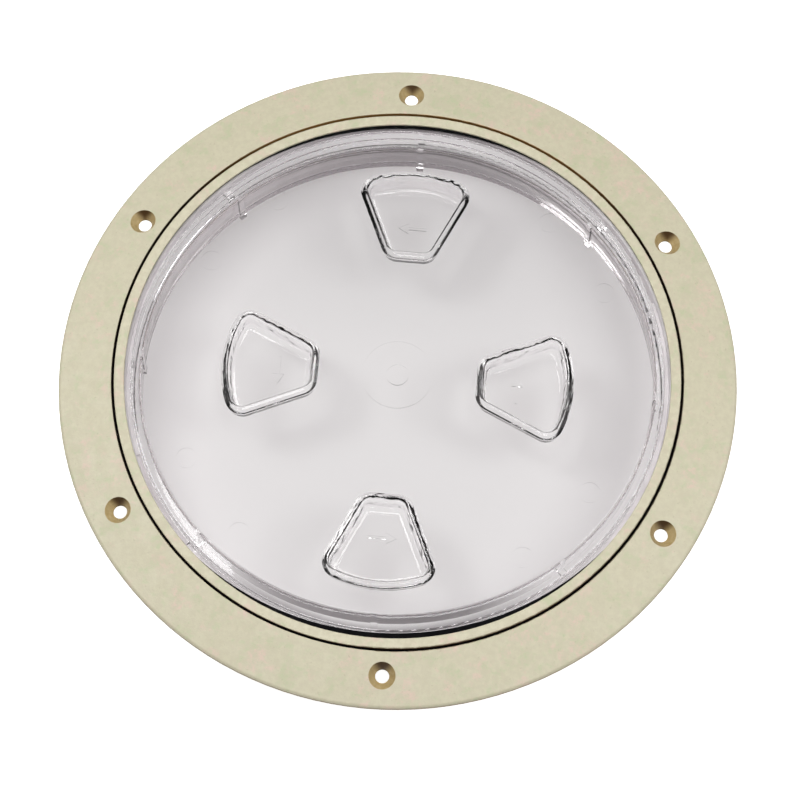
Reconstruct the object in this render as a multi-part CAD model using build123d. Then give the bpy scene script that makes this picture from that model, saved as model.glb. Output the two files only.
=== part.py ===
from build123d import *

import os
from math import atan2, cos, degrees, hypot, radians, sin

# Screw-out deck hatch (inspection deck plate) with a clear centre, in millimetres.
# The origin is the centre of the screw-hole circle on the flange's underside, which is the
# deck's surface. +Z points up out of the deck, and +Y runs through two of the finger pockets.

# Frame: the flange screwed to the deck, and its threaded collar
FLANGE_R = 130.0  # outer radius, 10 1/4 in across
FLANGE_EDGE_TOP = 1.9  # top of the flange at its outer edge
FLANGE_TOP = 6.0  # top of the flange beside the lid
FLANGE_EDGE_ROUND = 1.5
RECESS_R = 109.3  # wall of the recess that the lid's rim drops into
LEDGE_Z = 1.9  # floor of that recess
COLLAR_R = 108.0  # outside of the collar, for a 219 mm cut-out
COLLAR_DEPTH = 24.0
BORE_R = 104.0  # root of the collar's thread

HOLE_CIRCLE_R = 117.5
HOLE_COUNT = 6
HOLE_START = 92.6  # degrees from +X; the closed lid's stop sets it against the pockets
HOLE_R = 2.6
HOLE_LAND = 0.9  # height of the straight hole below the countersink
HEAD_R = 5.0  # radius of the countersink, which is square to the sloping flange

# Screw thread: two starts and a little over one turn, at the top of the collar
THREAD_STARTS = 2
THREAD_LEAD = 8.0
THREAD_DEPTH = 1.6
THREAD_BASE = 1.9  # height of a ridge at its root
THREAD_TIP = 1.0  # height of a ridge at its crest
THREAD_SINK = 0.4  # how far a ridge's root is buried in its wall
LID_THREAD_Z = (-8.0, -3.0)  # centre line of the lid's ridges, from bottom to top
COLLAR_THREAD_Z = (-9.5, -1.5)

# Lid rim: the opaque ring around the clear centre
RIM_R = 108.3
RIM_TOP = 6.0
RIM_BOTTOM = 2.2
LIP_R = 104.4  # inner edge of the rim's lip, where the clear centre starts to show
LIP_BOTTOM = 4.9
REBATE_R = 105.9  # pocket under the lip that holds the clear centre's flange

# Lid seal: the O-ring in the groove round the rim
SEAL_R = 108.05
SEAL_TUBE_R = 0.9
SEAL_Z = 3.7
SEAL_GROOVE_R = 107.0
SEAL_GROOVE_HALF = 1.05

# Clear centre: disc, flange under the rim's lip, threaded skirt, finger pockets, ribs
DISC_TOP = 5.7
DISC_BOTTOM = 2.3
DISC_R = 102.0
CLEAR_FLANGE_R = 105.8
CLEAR_FLANGE_TOP = 3.6
SKIRT_R = 101.8
SKIRT_INNER_RX = 99.2  # the skirt's inside is oval, so its wall is thicker at two sides
SKIRT_INNER_RY = 95.35
SKIRT_BOTTOM = -15.0
SKIRT_TOP_ROUND = 1.4
OVAL_TURN = 6.5  # degrees from +X to the ovals' long axis

# Window seal: a flat gasket under the rim's lip, squeezed inwards at two sides
WINDOW_SEAL_Z = (3.7, 4.8)
WINDOW_SEAL_OUTER_R = 105.7
WINDOW_SEAL_INNER_R = 104.7
WINDOW_SEAL_RX = 106.5  # oval that cuts the inner edge where the gasket shows
WINDOW_SEAL_RY = 102.95
WINDOW_SEAL_SHIFT = 0.75

# Finger pockets, in pairs: (direction in degrees, radius of the inner end)
POCKETS = ((90.0, 50.5), (270.0, 50.5), (0.0, 33.0), (180.0, 33.0))
POCKET_LENGTH = 32.0
POCKET_INNER_HALF = 7.6
POCKET_OUTER_HALF = 20.0
POCKET_BOW = 4.8  # how far the outer end's arc stands out beyond its corners
POCKET_CORNER = 4.0
POCKET_FLOOR = -2.9
POCKET_WALL = 2.8
POCKET_BASE = 2.4
POCKET_TAPER = 10.0
POCKET_RIM_ROUND = 1.2
POCKET_FLOOR_ROUND = 2.2

ARROW_AT = 13.0  # distance of the pocket's arrow from its inner end
ARROW_HEIGHT = 0.35

RIB_COUNT = 8
RIB_THICK = 2.6
RIB_REACH = 0.7  # how far a rib stands in from the skirt's inside
RIB_OUTER_R = 100.6
RIB_FOOT_Z = -17.5

# Marks that moulding leaves on the clear centre's underside
GATE_R = 4.2
GATE_HEIGHT = 0.7
GATE_RING_R = 13.6
GATE_RING_STEP = 0.25
EJECTOR_R = 4.0
EJECTOR_DEPTH = 0.2
EJECTOR_CIRCLE_R = 86.5
EJECTOR_ANGLES = [side + turn for side in (0, 180) for turn in (-52, -28, 28, 52)]


def turned(points, rounds=0.0):
    """The solid that a closed (radius, height) outline makes when it is turned about Z."""
    outline = FilletPolyline(*[(r, 0, z) for r, z in points], radius=rounds, close=True)
    return revolve(make_face(outline), Axis.Z)


def upright_cylinder(radius, bottom, top, x=0.0, y=0.0):
    """A plain vertical cylinder between two heights."""
    height = top - bottom
    return Pos(x, y, bottom) * Cylinder(radius, height, align=(Align.CENTER, Align.CENTER, Align.MIN))


def around(count, start, solid):
    """Copies of a solid at even steps about Z."""
    return [Rot(0, 0, start + 360.0 / count * i) * solid for i in range(count)]


def thread(root_r, outward, span, start):
    """The ridges of one side of the screw thread, each a trapezoid swept along its helix."""
    bottom, top = span
    path = Helix(THREAD_LEAD, top - bottom, root_r)
    way = 1 if outward else -1
    base, tip = THREAD_BASE / 2, THREAD_TIP / 2
    section_plane = Plane(origin=path @ 0, x_dir=(1, 0, 0), z_dir=path % 0)
    section = section_plane * Polygon(
        (-way * THREAD_SINK, -base),
        (way * THREAD_DEPTH, -tip),
        (way * THREAD_DEPTH, tip),
        (-way * THREAD_SINK, base),
        align=None,
    )
    ridge = Pos(0, 0, bottom) * sweep(section, path, is_frenet=True)
    return around(THREAD_STARTS, start, ridge)


def thread_phase(bottom):
    """The turn, in degrees, that puts a ridge starting at this height on the lid's helix."""
    return (bottom - LID_THREAD_Z[0]) / THREAD_LEAD * 360.0


def screw_hole():
    """A hole through the flange on the +X axis, with a countersink square to the sloping top."""
    rise, run = FLANGE_TOP - FLANGE_EDGE_TOP, FLANGE_R - RECESS_R
    surface = FLANGE_EDGE_TOP + rise / run * (FLANGE_R - HOLE_CIRCLE_R)
    depth = (surface - HOLE_LAND) * run / hypot(rise, run)
    above = 1.5  # the cone runs on past the surface
    mouth_r = HOLE_R + (HEAD_R - HOLE_R) * (depth + above) / depth
    cone = Cone(HOLE_R, mouth_r, depth + above, align=(Align.CENTER, Align.CENTER, Align.MIN))
    tilt = degrees(atan2(rise, run))
    shank = upright_cylinder(HOLE_R, -1.0, HOLE_LAND + 1.0)
    return Pos(HOLE_CIRCLE_R, 0, 0) * (shank + Pos(0, 0, HOLE_LAND) * Rot(0, tilt, 0) * cone)


def deck_frame():
    """Flange and threaded collar, moulded in one piece, with six countersunk holes."""
    body = turned(
        [
            (BORE_R, -COLLAR_DEPTH),
            (COLLAR_R, -COLLAR_DEPTH),
            (COLLAR_R, 0.0),
            (FLANGE_R, 0.0),
            (FLANGE_R, FLANGE_EDGE_TOP),
            (RECESS_R, FLANGE_TOP),
            (RECESS_R, LEDGE_Z),
            (BORE_R, LEDGE_Z),
        ],
        [0.6, 0.8, 0.0, 0.25, FLANGE_EDGE_ROUND, 0.35, 0.3, 0.6],
    )
    phase = thread_phase(COLLAR_THREAD_Z[0]) + 180.0 / THREAD_STARTS
    for ridge in thread(BORE_R, False, COLLAR_THREAD_Z, phase):
        body += ridge
    for hole in around(HOLE_COUNT, HOLE_START, screw_hole()):
        body -= hole
    return body


def lid_rim():
    """Opaque ring round the clear centre, with the seal's groove on its outside."""
    return turned(
        [
            (REBATE_R, RIM_BOTTOM),
            (RIM_R, RIM_BOTTOM),
            (RIM_R, SEAL_Z - SEAL_GROOVE_HALF),
            (SEAL_GROOVE_R, SEAL_Z - SEAL_GROOVE_HALF),
            (SEAL_GROOVE_R, SEAL_Z + SEAL_GROOVE_HALF),
            (RIM_R, SEAL_Z + SEAL_GROOVE_HALF),
            (RIM_R, RIM_TOP),
            (LIP_R, RIM_TOP),
            (LIP_R, LIP_BOTTOM),
            (REBATE_R, LIP_BOTTOM),
        ],
        [0.0, 0.2, 0.0, 0.2, 0.2, 0.0, 0.4, 0.35, 0.2, 0.0],
    )


def lid_seal():
    """O-ring stretched round the lid's rim."""
    return Pos(0, 0, SEAL_Z) * Torus(SEAL_R, SEAL_TUBE_R)


def window_seal():
    """Flat gasket under the rim's lip, whose inner edge bulges inwards at two sides."""
    oval = Rot(0, 0, OVAL_TURN) * Pos(0, WINDOW_SEAL_SHIFT, 0) * Ellipse(WINDOW_SEAL_RX, WINDOW_SEAL_RY)
    inner = Circle(WINDOW_SEAL_INNER_R) & oval
    bottom, top = WINDOW_SEAL_Z
    return extrude(Pos(0, 0, bottom) * (Circle(WINDOW_SEAL_OUTER_R) - inner), top - bottom)


def pocket_outline(grow):
    """A finger pocket's outline along +Y from the lid's middle, grown by a margin."""
    shoulder = POCKET_LENGTH - POCKET_BOW
    sides = Polyline(
        (-POCKET_OUTER_HALF, shoulder),
        (-POCKET_INNER_HALF, 0),
        (POCKET_INNER_HALF, 0),
        (POCKET_OUTER_HALF, shoulder),
    )
    bow = ThreePointArc((POCKET_OUTER_HALF, shoulder), (0, POCKET_LENGTH), (-POCKET_OUTER_HALF, shoulder))
    face = make_face(sides + bow)
    face = fillet(face.vertices(), POCKET_CORNER)
    return offset(face, grow) if grow else face


def pocket_block(grow, top, floor, round_r):
    """A pocket-shaped block that narrows downwards and has a rounded foot."""
    block = extrude(Pos(0, 0, top) * pocket_outline(grow), floor - top, taper=POCKET_TAPER)
    foot = block.faces().sort_by(Axis.Z)[0]
    return fillet(foot.edges(), round_r)


def pocket_arrow():
    """Arrow raised from a pocket's floor, along +Y from the lid's middle, for the way to open."""
    outline = Polyline(
        (5.5, -0.5), (-1.5, -0.5), (-1.5, -2.2), (-5.5, 0), (-1.5, 2.2), (-1.5, 0.5), (5.5, 0.5), close=True
    )
    return extrude(Pos(0, ARROW_AT, POCKET_FLOOR - 0.5) * make_face(outline), ARROW_HEIGHT + 0.5)


def skirt_hollow():
    """The oval space inside the skirt, under the disc."""
    oval = Rot(0, 0, OVAL_TURN) * Ellipse(SKIRT_INNER_RX, SKIRT_INNER_RY)
    below = 1.0
    hollow = extrude(Pos(0, 0, SKIRT_BOTTOM - below) * oval, DISC_BOTTOM - SKIRT_BOTTOM + below)
    crown = hollow.faces().sort_by(Axis.Z)[-1]
    return fillet(crown.edges(), SKIRT_TOP_ROUND)


def rib(direction):
    """A shallow upright rib on the skirt's inside, in a direction from the lid's middle."""
    turn = radians(direction - OVAL_TURN)
    wall = 1 / hypot(cos(turn) / SKIRT_INNER_RX, sin(turn) / SKIRT_INNER_RY)
    inner = wall - RIB_REACH
    height = DISC_BOTTOM + 1.0 - RIB_FOOT_Z
    block = Box(RIB_OUTER_R - inner, RIB_THICK, height, align=(Align.MIN, Align.CENTER, Align.MIN))
    return Rot(0, 0, direction) * Pos(inner, 0, RIB_FOOT_Z) * block


def clear_center():
    """Clear moulding: disc, flange, threaded skirt, four finger pockets and eight ribs."""
    body = turned(
        [
            (0.0, SKIRT_BOTTOM),
            (SKIRT_R, SKIRT_BOTTOM),
            (SKIRT_R, RIM_BOTTOM),
            (CLEAR_FLANGE_R, RIM_BOTTOM),
            (CLEAR_FLANGE_R, CLEAR_FLANGE_TOP),
            (DISC_R, CLEAR_FLANGE_TOP),
            (DISC_R, DISC_TOP),
            (0.0, DISC_TOP),
        ],
        [0.0, 0.8, 0.4, 0.3, 0.3, 0.3, 0.8, 0.0],
    )
    body -= skirt_hollow()
    for ridge in thread(SKIRT_R, True, LID_THREAD_Z, 0.0):
        body += ridge
    for i in range(RIB_COUNT):
        body += rib(360.0 / RIB_COUNT * i)
    for direction, inner_r in POCKETS:
        place = Rot(0, 0, direction - 90.0) * Pos(0, inner_r, 0)
        base = POCKET_FLOOR - POCKET_BASE
        body += place * pocket_block(POCKET_WALL, DISC_BOTTOM + 1.0, base, POCKET_FLOOR_ROUND)
        body -= place * pocket_block(0.0, DISC_TOP, POCKET_FLOOR, POCKET_FLOOR_ROUND)
    top_face = body.faces().filter_by(Axis.Z).sort_by(Axis.Z)[-1]
    rims = [edge for wire in top_face.inner_wires() for edge in wire.edges()]
    body = fillet(rims, POCKET_RIM_ROUND)
    for direction, inner_r in POCKETS:
        body += Rot(0, 0, direction - 90.0) * Pos(0, inner_r, 0) * pocket_arrow()
    return moulding_marks(body)


def moulding_marks(body):
    """Adds the gate's stub and ring and cuts the ejector pins' marks, all underneath."""
    body += upright_cylinder(GATE_RING_R, DISC_BOTTOM - GATE_RING_STEP, DISC_BOTTOM + 1.0)
    body += upright_cylinder(GATE_R, DISC_BOTTOM - GATE_HEIGHT, DISC_BOTTOM + 1.0)
    for angle in EJECTOR_ANGLES:
        x = EJECTOR_CIRCLE_R * cos(radians(angle))
        y = EJECTOR_CIRCLE_R * sin(radians(angle))
        body -= upright_cylinder(EJECTOR_R, DISC_BOTTOM - 1.0, DISC_BOTTOM + EJECTOR_DEPTH, x, y)
    return body


def main():
    os.makedirs("parts", exist_ok=True)
    nodes = {
        "deck_frame": deck_frame(),
        "lid_seal": lid_seal(),
        "lid_rim": lid_rim(),
        "window_seal": window_seal(),
        "clear_center": clear_center(),
    }
    for name, shape in nodes.items():
        export_step(shape, f"parts/{name}.step")


main()
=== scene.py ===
from math import cos, radians, sin

import bpy
from mathutils import Matrix, Vector


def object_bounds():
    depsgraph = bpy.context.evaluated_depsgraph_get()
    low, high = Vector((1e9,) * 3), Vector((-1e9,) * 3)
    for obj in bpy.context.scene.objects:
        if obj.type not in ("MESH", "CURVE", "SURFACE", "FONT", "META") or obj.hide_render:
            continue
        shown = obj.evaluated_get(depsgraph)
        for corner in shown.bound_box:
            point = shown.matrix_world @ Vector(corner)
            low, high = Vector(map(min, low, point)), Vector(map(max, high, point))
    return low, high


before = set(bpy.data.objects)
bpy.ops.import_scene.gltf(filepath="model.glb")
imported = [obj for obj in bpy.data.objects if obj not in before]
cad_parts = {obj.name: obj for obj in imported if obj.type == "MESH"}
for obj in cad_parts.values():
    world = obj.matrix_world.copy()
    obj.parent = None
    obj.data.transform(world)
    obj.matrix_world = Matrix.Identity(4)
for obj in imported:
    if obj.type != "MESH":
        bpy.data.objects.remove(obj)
CAD_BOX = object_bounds()

# Camera: it looks down at the lid from the front, a little to the right. Angles are in degrees.
CAMERA_TURN = 6.55  # about Z, from straight in front
CAMERA_ELEVATION = 70.3
CAMERA_ROLL = -1.3
CAMERA_DISTANCE = 1.0
CAMERA_SLIDE = (-0.00103, 0.01054)  # how far the lid's middle lies right of and above the view's
FOCAL_LENGTH = 117.9
SENSOR = 36.0

# Heights and radii are in metres in the row frame.
LID_TOP = 0.006
FLOOR_HALF = 3.0
SOFT_EDGE = 0.0001  # how softly a painted edge fades

# Screw holes in the flange
HOLE_CIRCLE_R = 0.11815  # at the countersinks' mouths
HOLE_COUNT = 6
HOLE_START = 92.6
HOLE_EDGE_R = 0.0050
SHADOW_DEPTH = 0.0038  # how far back in a hole the painted shadow is darkest
SHADOW_TAPER = 0.6  # how much the painted shadow thins out towards the hole's sides

# The flange's outer side, with painted shade low down
EDGE_R = 0.1296
EDGE_FADE = (0.0014, 0.0008)

# The gap round the lid, painted with shade: on the frame, on the rim, and how far the painted shade
# lies below the top
FRAME_GAP = (0.1088, 0.1098)
RIM_GAP = (0.1079, 0.1085)
GAP_FADE = (0.0059, 0.0054)

# The bore is the frame's inside, under the lid
BORE_EDGE_R = 0.1066
BORE_TOP = 0.0030
BORE_FADE = 0.0004

# The lid's clear part
DISC_BOTTOM = 0.0023
DISC_FADE = 0.0006
POCKET_END_R = 0.0850
POCKET_FADE = 0.006

# The floor's shading under the lid
UNDER_LID_R = (0.108, 0.1065)
SKIRT_SHADE_R = (0.092, 0.097)
BACK_SHADE_Y = 0.085


class Nodes:
    """A material's node tree, with short calls for the nodes used here."""

    def __init__(self, name):
        self.material = bpy.data.materials.new(name)
        self.material.use_nodes = True
        self.tree = self.material.node_tree
        self.tree.nodes.clear()
        self.output = self.add("ShaderNodeOutputMaterial")

    def add(self, kind, **values):
        """A new node. Values set its properties, or its input sockets by name with _ for a space."""
        node = self.tree.nodes.new(kind)
        for key, value in values.items():
            if hasattr(node, key):
                setattr(node, key, value)
            else:
                self.put(node.inputs[key.replace("_", " ")], value)
        return node

    def put(self, socket, value):
        """Links an output socket, or sets a constant."""
        if isinstance(value, bpy.types.NodeSocket):
            self.tree.links.new(value, socket)
        else:
            socket.default_value = value

    def position(self):
        """Object coordinates, in metres in the row frame."""
        return self.add("ShaderNodeTexCoord").outputs["Object"]

    def split(self, vector):
        """The three coordinates of a vector."""
        node = self.add("ShaderNodeSeparateXYZ")
        self.put(node.inputs[0], vector)
        return node.outputs

    def place(self):
        """The point's x, y and z, and its distance from the hatch's axis."""
        x, y, z = self.split(self.position())
        return x, y, z, self.length(x, y)

    def northing(self):
        """The sine of the angle round the hatch: 1 at the back, -1 at the front, 0 at the sides."""
        x, y, z, radius = self.place()
        return self.math("DIVIDE", y, self.math("MAXIMUM", radius, 0.01))

    def noise(self, size, detail=3.0, roughness=0.55, offset=(0, 0, 0)):
        """Noise whose blotches are about this many metres across."""
        shifted = self.add("ShaderNodeVectorMath", operation="ADD")
        self.put(shifted.inputs[0], self.position())
        self.put(shifted.inputs[1], offset)
        node = self.add("ShaderNodeTexNoise", Scale=1.0 / size, Detail=detail, Roughness=roughness)
        self.put(node.inputs["Vector"], shifted.outputs[0])
        return node.outputs["Fac"]

    def math(self, operation, a, b=0.0):
        node = self.add("ShaderNodeMath", operation=operation)
        self.put(node.inputs[0], a)
        self.put(node.inputs[1], b)
        return node.outputs[0]

    def length(self, x, y):
        squares = self.math("MULTIPLY", x, x), self.math("MULTIPLY", y, y)
        return self.math("SQRT", self.math("ADD", *squares))

    def ramp(self, value, low, high, to_low=0.0, to_high=1.0):
        """The value mapped from low..high to to_low..to_high, smoothly and clamped."""
        node = self.add("ShaderNodeMapRange", interpolation_type="SMOOTHSTEP")
        for socket, item in zip(node.inputs, (value, low, high, to_low, to_high)):
            self.put(socket, item)
        return node.outputs[0]

    def mix(self, factor, a, b):
        """Two colours or two values mixed."""
        node = self.add("ShaderNodeMix", data_type="RGBA")
        self.put(node.inputs["Factor"], factor)
        self.put(node.inputs[6], a)
        self.put(node.inputs[7], b)
        return node.outputs[2]

    def blend(self, factor, a, b):
        """Two shaders mixed."""
        node = self.add("ShaderNodeMixShader")
        for socket, value in zip(node.inputs, (factor, a, b)):
            self.put(socket, value)
        return node.outputs[0]

    def bump(self, height, strength, distance):
        node = self.add("ShaderNodeBump", Strength=strength, Distance=distance, Height=height)
        return node.outputs["Normal"]

    def surface(self, shader):
        """Gives the material its finished shader."""
        self.put(self.output.inputs["Surface"], shader)
        return self.material


def rgb(red, green, blue):
    """A scene-linear colour from the usual 0 to 255 values."""
    return tuple(((v / 255 + 0.055) / 1.055) ** 2.4 for v in (red, green, blue)) + (1.0,)


def matte_colour(nodes, base):
    """Beige plastic with faint pinkish, greenish and yellow patches and tiny dark specks."""
    pinkish = nodes.ramp(nodes.noise(0.008, 5, 0.65), 0.52, 0.64)
    greenish = nodes.ramp(nodes.noise(0.007, 5, 0.65, (3, 1, 2)), 0.50, 0.64)
    yellow = nodes.ramp(nodes.noise(0.0022, 5, 0.7, (7, 5, 1)), 0.35, 0.65)
    specks = nodes.ramp(nodes.noise(0.0011, 2, 0.5, (2, 8, 4)), 0.66, 0.76, 0.0, 0.35)
    colour = nodes.mix(pinkish, base, rgb(218, 197, 179))
    colour = nodes.mix(greenish, colour, rgb(194, 197, 162))
    colour = nodes.mix(yellow, colour, rgb(203, 196, 170))
    return nodes.mix(specks, colour, rgb(168, 158, 128))


def matte_shader(nodes, colour):
    """Matte plastic of uneven gloss, with the mould's fine grain."""
    return nodes.add(
        "ShaderNodeBsdfPrincipled",
        Base_Color=colour,
        Roughness=nodes.ramp(nodes.noise(0.006, 3), 0.3, 0.7, 0.46, 0.6),
        Normal=nodes.bump(nodes.noise(0.0007, 3, 0.6), 0.35, 0.00012),
        Specular_IOR_Level=0.55,
    ).outputs[0]


def hole_masks(nodes):
    """Two masks: 1 inside the countersinks, where brown shade is painted, and 1 at their back, where a
    darker shadow is painted.
    """
    x, y, z = nodes.split(nodes.position())
    inside, hole_shadow = 0.0, 0.0
    for i in range(HOLE_COUNT):
        angle = radians(HOLE_START + 360 / HOLE_COUNT * i)
        across = nodes.math("SUBTRACT", x, HOLE_CIRCLE_R * cos(angle))
        along = nodes.math("SUBTRACT", y, HOLE_CIRCLE_R * sin(angle))
        from_middle = nodes.length(across, along)
        hole = nodes.ramp(from_middle, HOLE_EDGE_R + SOFT_EDGE, HOLE_EDGE_R - SOFT_EDGE)
        taper = nodes.math("MULTIPLY", nodes.math("ABSOLUTE", across), -SHADOW_TAPER)
        shadow_strength = nodes.ramp(nodes.math("ADD", along, taper), 0.0, SHADOW_DEPTH)
        inside = nodes.math("MAXIMUM", inside, hole)
        hole_shadow = nodes.math("MAXIMUM", hole_shadow, nodes.math("MULTIPLY", hole, shadow_strength))
    return inside, hole_shadow


def bore_mask(nodes):
    """1 in the frame's bore, under the lid, and 0 on the rest of it."""
    x, y, z, radius = nodes.place()
    inside = nodes.ramp(radius, BORE_EDGE_R, BORE_EDGE_R - BORE_FADE)
    below = nodes.ramp(z, BORE_TOP, BORE_TOP - BORE_FADE)
    return nodes.math("MULTIPLY", inside, below)


def gap_mask(nodes, gap):
    """1 between a gap's two radii, below the top, where shade is painted round the lid."""
    x, y, z, radius = nodes.place()
    inner, outer = gap
    past = nodes.ramp(radius, inner, inner + SOFT_EDGE)
    short = nodes.ramp(radius, outer + SOFT_EDGE, outer)
    below = nodes.ramp(z, *GAP_FADE)
    return nodes.math("MULTIPLY", nodes.math("MULTIPLY", past, short), below)


def gap_shade(nodes):
    """The gap's painted shade: nearly black at the sides, brown at the front and paler brown at the
    back.
    """
    front = nodes.ramp(nodes.northing(), -0.3, -0.8)
    back = nodes.ramp(nodes.northing(), 0.55, 0.95)
    return nodes.mix(back, nodes.mix(front, rgb(50, 28, 10), rgb(124, 80, 38)), rgb(186, 138, 74))


def edge_shade_mask(nodes):
    """1 on the flange's outer side, low down, where shade is painted."""
    x, y, z, radius = nodes.place()
    outside = nodes.ramp(radius, EDGE_R - 4 * SOFT_EDGE, EDGE_R)
    return nodes.math("MULTIPLY", outside, nodes.ramp(z, *EDGE_FADE))


def bore_colour(nodes):
    """Pale grey, with painted shade at the front and the back, and faint blotches."""
    end_shade = nodes.ramp(nodes.math("ABSOLUTE", nodes.northing()), 0.7, 1.0)
    blotches = nodes.ramp(nodes.noise(0.010, 4), 0.4, 0.7, 0.0, 0.3)
    pale = nodes.mix(end_shade, rgb(250, 247, 248), rgb(203, 198, 201))
    return nodes.mix(blotches, pale, rgb(190, 186, 188))


def frame_plastic():
    """Beige plastic: painted brown shade in the countersinks and gaps, a painted shadow at the
    countersinks' backs, painted shade low on the flange's outer side, and whiter in the bore under the
    lid, with painted shade at its front and back.
    """
    nodes = Nodes("frame_plastic")
    inside, hole_shadow = hole_masks(nodes)
    # Painted shade in the countersinks: blotchy brown, darkening to a near-black painted shadow at
    # their backs.
    brown = nodes.mix(nodes.noise(0.0015, 3), rgb(160, 132, 76), rgb(204, 186, 142))
    countersink = nodes.mix(hole_shadow, brown, rgb(70, 46, 14))
    colour = nodes.mix(inside, matte_colour(nodes, rgb(209, 203, 176)), countersink)
    # Painted shade in the gap round the lid.
    colour = nodes.mix(gap_mask(nodes, FRAME_GAP), colour, gap_shade(nodes))
    # Painted shade on the flange's outer side, low down.
    colour = nodes.mix(edge_shade_mask(nodes), colour, rgb(152, 126, 94))
    # The bore's pale grey, with painted shade at its front and back.
    colour = nodes.mix(bore_mask(nodes), colour, bore_colour(nodes))
    return nodes.surface(matte_shader(nodes, colour))


def rim_plastic():
    """Beige plastic, with painted brown shade in the gap round the lid."""
    nodes = Nodes("rim_plastic")
    colour = matte_colour(nodes, rgb(214, 208, 182))
    # Painted shade in the gap round the lid.
    colour = nodes.mix(gap_mask(nodes, RIM_GAP), colour, gap_shade(nodes))
    return nodes.surface(matte_shader(nodes, colour))


def clear_masks(nodes):
    """Three masks: 1 on steep faces, 1 on those below the disc, and 1 over the finger pockets."""
    x, y, z, radius = nodes.place()
    normal = nodes.split(nodes.add("ShaderNodeNewGeometry").outputs["Normal"])
    steep = nodes.ramp(nodes.math("ABSOLUTE", normal[2]), 0.75, 0.45)
    wall = nodes.math("MULTIPLY", steep, nodes.ramp(z, DISC_BOTTOM + DISC_FADE, DISC_BOTTOM))
    pocket = nodes.ramp(radius, POCKET_END_R + POCKET_FADE, POCKET_END_R)
    return steep, wall, pocket


def clear_plastic():
    """Clear moulded plastic, rippled on the pockets' walls, which also dim the light through them."""
    nodes = Nodes("clear_plastic")
    steep, wall, pocket = clear_masks(nodes)
    ripple = nodes.math("MULTIPLY", steep, pocket)
    height = nodes.mix(ripple, nodes.noise(0.030, 2), nodes.noise(0.008, 2))
    glass = nodes.add(
        "ShaderNodeBsdfPrincipled",
        Base_Color=nodes.mix(wall, rgb(251, 250, 250), rgb(252, 250, 251)),
        Roughness=0.02,
        IOR=1.49,
        Transmission_Weight=1.0,
        Normal=nodes.bump(height, nodes.ramp(ripple, 0.0, 1.0, 0.10, 0.75), 0.0010),
    )
    wall_tint = nodes.mix(pocket, rgb(249, 247, 248), rgb(176, 171, 174))
    tint = nodes.mix(wall, rgb(249, 248, 248), wall_tint)
    pane = nodes.add("ShaderNodeBsdfTransparent", Color=tint)
    rays = nodes.add("ShaderNodeLightPath").outputs
    lit = nodes.blend(rays["Is Diffuse Ray"], glass.outputs[0], pane.outputs[0])
    return nodes.surface(nodes.blend(rays["Is Shadow Ray"], lit, pane.outputs[0]))


def seal_rubber():
    """Black rubber with a faint dusty bloom."""
    nodes = Nodes("seal_rubber")
    bloom = nodes.ramp(nodes.noise(0.004, 4), 0.45, 0.75)
    shader = nodes.add(
        "ShaderNodeBsdfPrincipled",
        Base_Color=nodes.mix(bloom, rgb(5, 5, 7), rgb(15, 14, 16)),
        Roughness=nodes.ramp(nodes.noise(0.003, 3, offset=(5, 5, 5)), 0.3, 0.7, 0.5, 0.7),
        Normal=nodes.bump(nodes.noise(0.0005, 3), 0.3, 0.00008),
        Specular_IOR_Level=0.05,
    )
    return nodes.surface(shader.outputs[0])


def dress(node, material):
    """Gives a CAD node its material."""
    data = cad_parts[node].data
    data.materials.clear()
    data.materials.append(material)


def floor_colour(nodes):
    """White paper, with painted shadows under the lid: a little darker at the back and below the front
    of its skirt.
    """
    x, y, z, radius = nodes.place()
    under = nodes.ramp(radius, *UNDER_LID_R)
    # Painted shadows: darker paper at the back under the lid, and a dark ring below the front of the
    # skirt.
    back = nodes.math("MULTIPLY", under, nodes.ramp(y, 0.0, BACK_SHADE_Y))
    skirt = nodes.math("MULTIPLY", under, nodes.ramp(radius, *SKIRT_SHADE_R))
    front = nodes.ramp(nodes.northing(), -0.7, -1.0)
    paper = nodes.mix(back, (0.9, 0.9, 0.9, 1), (0.76, 0.76, 0.76, 1))
    return nodes.mix(nodes.math("MULTIPLY", skirt, front), paper, (0.30, 0.288, 0.294, 1))


def floor_paper():
    """Paper that also glows to the camera, so that it looks white."""
    nodes = Nodes("floor")
    paper = nodes.add("ShaderNodeBsdfPrincipled", Base_Color=floor_colour(nodes), Roughness=0.9)
    glow = nodes.add("ShaderNodeEmission", Color=(1, 1, 1, 1), Strength=0.9)
    seen = nodes.add("ShaderNodeLightPath").outputs["Is Camera Ray"]
    bright = nodes.add("ShaderNodeAddShader")
    nodes.put(bright.inputs[0], paper.outputs[0])
    nodes.put(bright.inputs[1], glow.outputs[0])
    return nodes.surface(nodes.blend(seen, paper.outputs[0], bright.outputs[0]))


def floor():
    """The plain pale floor that the collar stands on."""
    height = CAD_BOX[0][2]
    corners = [(-1, -1), (1, -1), (1, 1), (-1, 1)]
    mesh = bpy.data.meshes.new("floor")
    mesh.from_pydata([(x * FLOOR_HALF, y * FLOOR_HALF, height) for x, y in corners], [], [(0, 1, 2, 3)])
    mesh.materials.append(floor_paper())
    obj = bpy.data.objects.new("floor", mesh)
    bpy.context.scene.collection.objects.link(obj)


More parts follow.
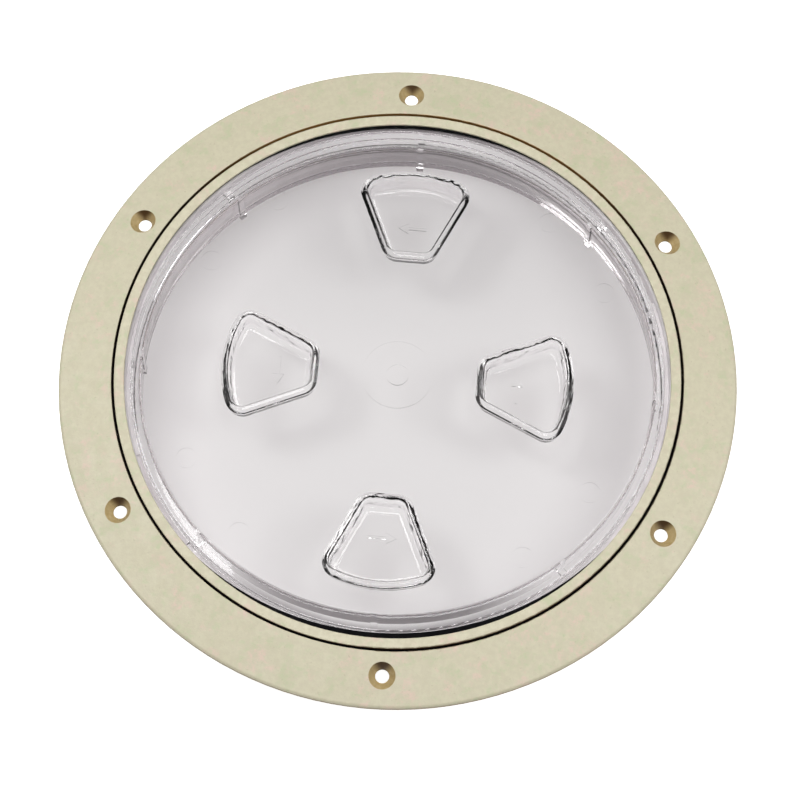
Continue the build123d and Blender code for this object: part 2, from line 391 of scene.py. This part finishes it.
def camera():
    """The camera, high above the front of the lid and aimed near its middle."""
    elevation, turn, roll = radians(CAMERA_ELEVATION), radians(CAMERA_TURN), radians(CAMERA_ROLL)
    right = Vector((1, 0, 0))
    forward = Vector((0, cos(elevation), -sin(elevation)))
    up = right.cross(forward)
    across = right * cos(roll) + up * sin(roll)
    upward = up * cos(roll) - right * sin(roll)
    slide = across * CAMERA_SLIDE[0] + upward * CAMERA_SLIDE[1]
    matrix = Matrix((across, upward, -forward)).transposed().to_4x4()
    matrix.translation = Vector((0, 0, LID_TOP)) - forward * CAMERA_DISTANCE - slide
    data = bpy.data.cameras.new("camera")
    data.lens = FOCAL_LENGTH
    data.sensor_width = SENSOR
    obj = bpy.data.objects.new("camera", data)
    obj.matrix_world = Matrix.Rotation(turn, 4, "Z") @ matrix
    bpy.context.scene.collection.objects.link(obj)
    bpy.context.scene.camera = obj


def softbox(name, place, size, watts):
    """A white rectangular area light at a place, turned to the hatch."""
    data = bpy.data.lights.new(name, "AREA")
    data.shape = "RECTANGLE"
    data.size, data.size_y = size
    data.energy = watts
    obj = bpy.data.objects.new(name, data)
    obj.location = place
    obj.rotation_euler = (-Vector(place)).to_track_quat("-Z", "Y").to_euler()
    bpy.context.scene.collection.objects.link(obj)


def lights():
    """Soft boxes left, right and above."""
    softbox("left_box", (-0.62, 0.18, 1.1), (0.45, 0.7), 7.4)
    softbox("right_box", (0.85, 0.0, 1.0), (0.45, 0.7), 6.3)
    softbox("top_box", (0.0, -0.12, 1.3), (0.5, 0.4), 4.7)


def sky():
    """A dim white sky that looks pale behind the object."""
    world = bpy.data.worlds.new("sky")
    world.use_nodes = True
    tree = world.node_tree
    seen = tree.nodes.new("ShaderNodeLightPath").outputs["Is Camera Ray"]
    strength = tree.nodes.new("ShaderNodeMapRange")
    strength.inputs["To Min"].default_value = 0.15
    strength.inputs["To Max"].default_value = 0.9
    back = tree.nodes["Background"]
    back.inputs["Color"].default_value = (1, 1, 1, 1)
    tree.links.new(seen, strength.inputs["Value"])
    tree.links.new(strength.outputs[0], back.inputs["Strength"])
    bpy.context.scene.world = world


def main():
    dress("deck_frame", frame_plastic())
    dress("lid_rim", rim_plastic())
    dress("clear_center", clear_plastic())
    rubber = seal_rubber()
    dress("lid_seal", rubber)
    dress("window_seal", rubber)
    floor()
    lights()
    sky()
    camera()
    bpy.context.scene.view_settings.view_transform = "Standard"


main()
